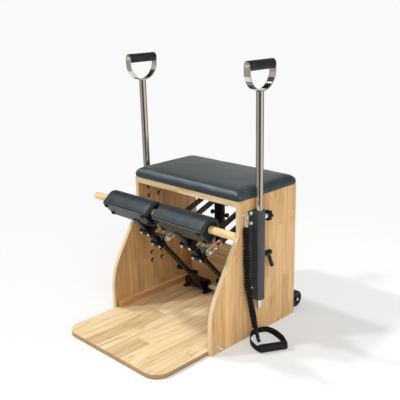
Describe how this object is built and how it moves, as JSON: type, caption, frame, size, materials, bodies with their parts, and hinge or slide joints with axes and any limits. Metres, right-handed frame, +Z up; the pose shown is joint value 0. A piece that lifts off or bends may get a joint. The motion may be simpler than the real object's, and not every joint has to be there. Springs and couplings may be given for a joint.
{
  "type": "pilates chair",
  "caption": "Wooden box exercise chair with a padded seat, split sprung foot pedals joined by a dowel, sliding side handles, transport wheels and a stirrup strap.",
  "frame": {"origin": "on the floor, under the middle of the object's box without the strap", "axes": "+Z up, -Y towards the platform at the front, +X to the side with the strap"},
  "size_m": [0.9176, 0.8905, 1.126],
  "materials": {
    "panel_wood": "satin laminated boards",
    "platform_wood": "satin laminated boards",
    "batten_wood": "satin",
    "dowel_wood": "satin turned dowel",
    "seat_leather": "soft sheen",
    "pedal_leather": "soft sheen",
    "grey_profile": "satin dark grey",
    "chrome": "polished",
    "bright_steel": "bright",
    "black_metal": "satin black",
    "plate_steel": "satin grey",
    "red_ferrule": "satin",
    "black_plastic": "satin",
    "black_foam": "matte",
    "cord_fabric": "matte woven",
    "tag_rubber": "matte"
  },
  "bodies": {
    "frame": {"left_side_panel": "panel_wood", "right_side_panel": "panel_wood", "seat_board": "panel_wood", "base_platform": "platform_wood", "rear_panel": "panel_wood", "floor_battens": "batten_wood", "corner_cleats": "batten_wood", "seat_pad": "seat_leather", "left_handle_socket": "grey_profile", "right_handle_socket": "grey_profile", "frame_fasteners": "bright_steel", "socket_collars": "bright_steel", "hinge_axle": "bright_steel", "axle_blocks": "black_metal", "spring_posts": "black_metal", "wheel_brackets": "black_metal", "panel_stud": "bright_steel", "strap_eyes": "bright_steel", "strap_clip": "bright_steel", "strap_cord": "cord_fabric", "cord_end_tag": "tag_rubber", "stirrup_webbing": "cord_fabric", "stirrup_grip": "black_foam"},
    "right_pedal": {"right_pedal_arm": "black_metal", "right_bumper_bar": "black_metal", "right_spring_clamps": "black_metal", "right_pedal_bolts": "bright_steel", "right_pedal_plate": "plate_steel", "right_pedal_core": "black_metal", "right_pedal_pad": "pedal_leather"},
    "right_springs": {"right_spring_eyes": "bright_steel", "right_spring_coils": "black_metal"},
    "right_spring_front": {"right_spring_hooks": "bright_steel", "right_spring_ferrules": "red_ferrule"},
    "left_pedal": {"left_pedal_arm": "black_metal", "left_bumper_bar": "black_metal", "left_spring_clamps": "black_metal", "left_pedal_bolts": "bright_steel", "left_pedal_plate": "plate_steel", "left_pedal_core": "black_metal", "left_pedal_pad": "pedal_leather"},
    "left_springs": {"left_spring_eyes": "bright_steel", "left_spring_coils": "black_metal"},
    "left_spring_front": {"left_spring_hooks": "bright_steel", "left_spring_ferrules": "red_ferrule"},
    "dowel": {"pedal_dowel": "dowel_wood"},
    "right_handle": {"right_handle_tube": "chrome", "right_handle_yoke": "chrome", "right_handle_grip": "black_foam", "right_grip_bolt": "bright_steel"},
    "right_knob": {"right_plunger": "black_plastic"},
    "right_lever": {"right_clamp_lever": "black_plastic"},
    "right_wheel_body": {"right_wheel": "black_plastic"},
    "left_handle": {"left_handle_tube": "chrome", "left_handle_yoke": "chrome", "left_handle_grip": "black_foam", "left_grip_bolt": "bright_steel"},
    "left_knob": {"left_plunger": "black_plastic"},
    "left_lever": {"left_clamp_lever": "black_plastic"},
    "left_wheel_body": {"left_wheel": "black_plastic"}
  },
  "joints": [
    {"name": "right_pedal_press", "type": "hinge", "parent": "frame", "child": "right_pedal", "pos_m": [0.175, 0.23175, 0.051], "axis": [1, 0, 0], "range_deg": [0, 45], "stiffness_Nm_per_rad": 45, "springref_deg": -42.97},
    {"name": "right_spring_swing", "type": "hinge", "parent": "frame", "child": "right_springs", "pos_m": [0.125, 0.34675, 0.491], "axis": [1, 0, 0], "range_deg": [0, 18.38]},
    {"name": "right_spring_stretch", "type": "slide", "parent": "right_springs", "child": "right_spring_front", "axis": [0, -0.9424, -0.3346], "range_m": [0, 0.2745], "deforming": ["right_spring_coils"]},
    {"name": "left_pedal_press", "type": "hinge", "parent": "frame", "child": "left_pedal", "pos_m": [-0.175, 0.23175, 0.051], "axis": [1, 0, 0], "range_deg": [0, 45], "stiffness_Nm_per_rad": 45, "springref_deg": -42.97},
    {"name": "left_spring_swing", "type": "hinge", "parent": "frame", "child": "left_springs", "pos_m": [-0.125, 0.34675, 0.491], "axis": [1, 0, 0], "range_deg": [0, 18.38]},
    {"name": "left_spring_stretch", "type": "slide", "parent": "left_springs", "child": "left_spring_front", "axis": [0, -0.9424, -0.3346], "range_m": [0, 0.2745], "deforming": ["left_spring_coils"]},
    {"name": "dowel_slide", "type": "slide", "parent": "right_pedal", "child": "dowel", "axis": [1, 0, 0], "range_m": [0, 0.72]},
    {"name": "right_handle_height", "type": "slide", "parent": "frame", "child": "right_handle", "axis": [0, 0, 1], "range_m": [-0.1, 0.2]},
    {"name": "right_plunger_pull", "type": "slide", "parent": "frame", "child": "right_knob", "axis": [0, 1, 0], "range_m": [0, 0.009], "stiffness_N_per_m": 900, "springref_m": -0.01},
    {"name": "right_lever_turn", "type": "hinge", "parent": "frame", "child": "right_lever", "pos_m": [0.3345, 0.12875, 0.357], "axis": [0, 1, 0], "range_deg": [-120, 12]},
    {"name": "right_wheel_spin", "type": "hinge", "parent": "frame", "child": "right_wheel_body", "pos_m": [0.2775, 0.40775, 0.042], "axis": [1, 0, 0], "continuous": true},
    {"name": "left_handle_height", "type": "slide", "parent": "frame", "child": "left_handle", "axis": [0, 0, 1], "range_m": [-0.1, 0.2]},
    {"name": "left_plunger_pull", "type": "slide", "parent": "frame", "child": "left_knob", "axis": [0, 1, 0], "range_m": [0, 0.009], "stiffness_N_per_m": 900, "springref_m": -0.01},
    {"name": "left_lever_turn", "type": "hinge", "parent": "frame", "child": "left_lever", "pos_m": [-0.3345, 0.12875, 0.357], "axis": [0, 1, 0], "range_deg": [-12, 120]},
    {"name": "left_wheel_spin", "type": "hinge", "parent": "frame", "child": "left_wheel_body", "pos_m": [-0.2775, 0.40775, 0.042], "axis": [1, 0, 0], "continuous": true}
  ],
  "couplings": [
    {"joint": "right_spring_swing", "follows": "right_pedal_press", "ratio": 0.404},
    {"joint": "right_spring_stretch", "follows": "right_pedal_press", "m_per_rad": 0.347},
    {"joint": "left_pedal_press", "follows": "right_pedal_press", "ratio": 1},
    {"joint": "left_spring_swing", "follows": "right_pedal_press", "ratio": 0.404},
    {"joint": "left_spring_stretch", "follows": "right_pedal_press", "m_per_rad": 0.347}
  ]
}
